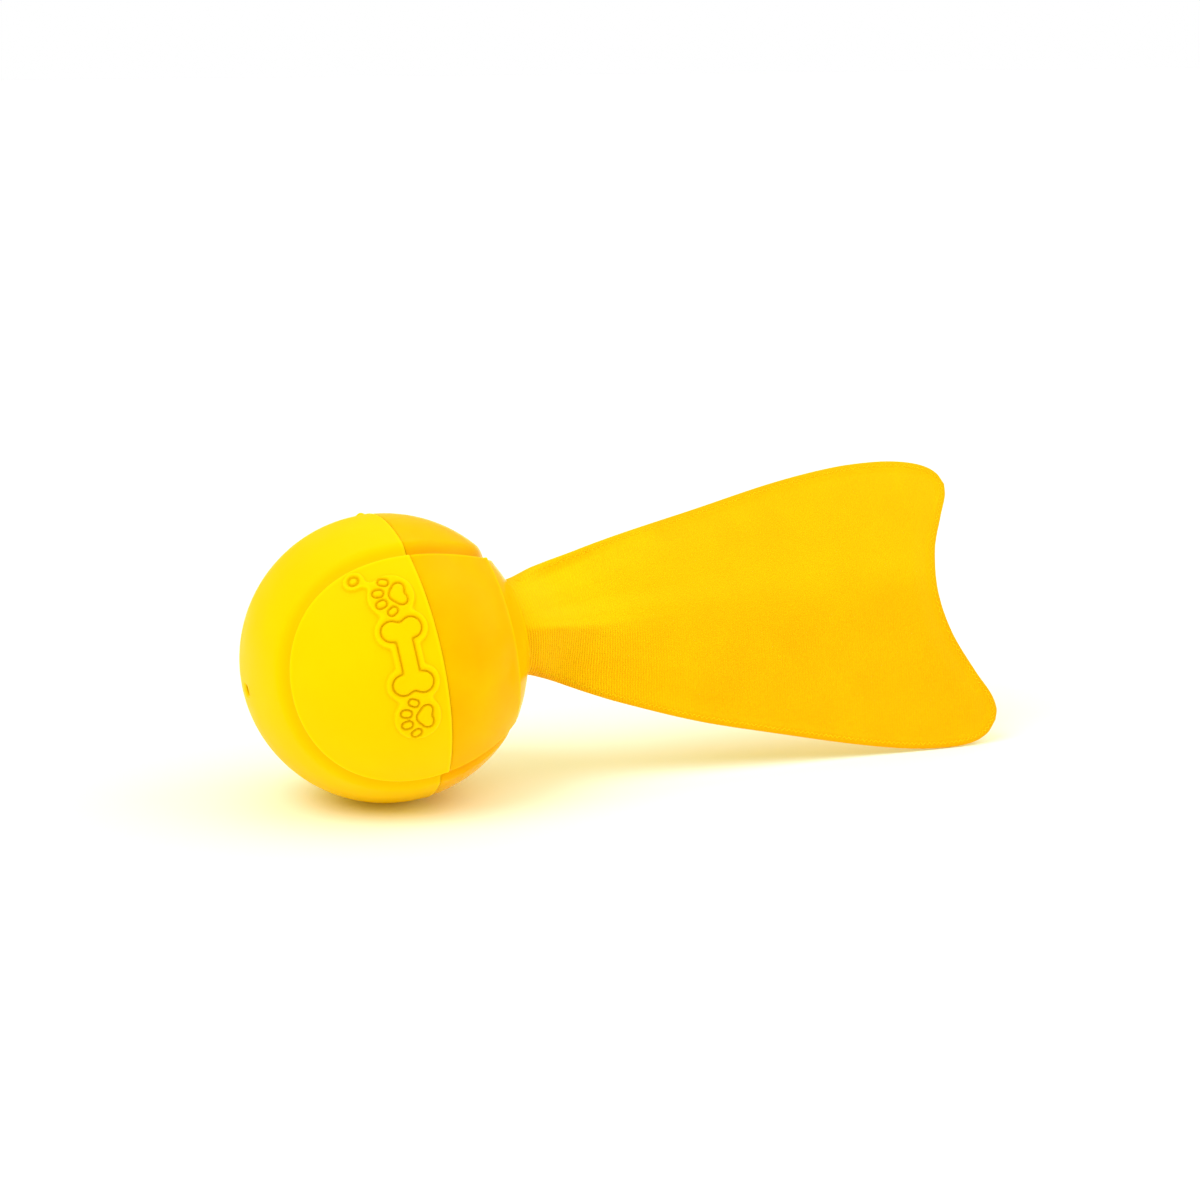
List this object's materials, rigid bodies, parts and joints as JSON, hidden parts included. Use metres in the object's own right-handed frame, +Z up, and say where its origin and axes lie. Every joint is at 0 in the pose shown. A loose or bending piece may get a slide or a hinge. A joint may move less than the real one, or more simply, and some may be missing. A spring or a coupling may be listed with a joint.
{
  "type": "tailed fetch ball",
  "caption": "Two-tone rubber fetch ball with a squeaker behind its vent hole and a fan-shaped woven tail that flexes at the mouth and along its length.",
  "frame": {"origin": "on the floor, under the middle of the toy's footprint", "axes": "+X from the vent hole to the tail, +Y away from the near side, +Z up"},
  "size_m": [0.1806, 0.0636, 0.065],
  "materials": {
    "front_rubber": "opaque yellow rubber, satin",
    "rear_rubber": "translucent amber rubber, soft gloss",
    "squeaker_plastic": "moulded ivory plastic",
    "reed_film": "thin plastic film",
    "anchor_plastic": "moulded plastic",
    "tail_cloth": "ribbed woven nylon",
    "thread": "twisted nylon thread"
  },
  "bodies": {
    "ball": {"front_shell": "front_rubber", "rear_shell": "rear_rubber", "squeaker_barrel": "squeaker_plastic", "squeaker_cap": "squeaker_plastic", "squeaker_reed": "reed_film", "tail_plug": "anchor_plastic", "tail_lock_ring": "anchor_plastic", "root_tie": "thread", "tail_root_sleeve": "tail_cloth"},
    "tail_neck": {"tail_throat": "tail_cloth", "tail_neck_sleeve": "tail_cloth"},
    "tail_inner": {"tail_gusset": "tail_cloth", "tail_panel_near": "tail_cloth", "tail_panel_far": "tail_cloth", "seam_thread_panel_upper": "thread", "seam_thread_panel_lower": "thread"},
    "tail_outer": {"tail_fold": "tail_cloth", "tail_fin_near": "tail_cloth", "tail_fin_far": "tail_cloth", "seam_thread_fin_upper": "thread", "seam_thread_fin_lower": "thread"}
  },
  "joints": [
    {"name": "tail_lift", "type": "hinge", "parent": "ball", "child": "tail_neck", "pos_m": [-0.0282, 0, 0.03602], "axis": [0, -0.9659, 0.2588], "range_deg": [-20, 25], "stiffness_Nm_per_rad": 0.05, "deforming": ["tail_throat"]},
    {"name": "tail_sway", "type": "hinge", "parent": "tail_neck", "child": "tail_inner", "pos_m": [-0.00896, -0.00017, 0.03537], "axis": [0.0349, 0.2587, 0.9653], "range_deg": [-60, 60], "stiffness_Nm_per_rad": 0.04, "deforming": ["tail_gusset"]},
    {"name": "tail_curl", "type": "hinge", "parent": "tail_inner", "child": "tail_outer", "pos_m": [0.03177, -0.00054, 0.034], "axis": [0.0349, 0.2587, 0.9653], "range_deg": [-60, 60], "stiffness_Nm_per_rad": 0.02, "deforming": ["tail_fold"]}
  ]
}
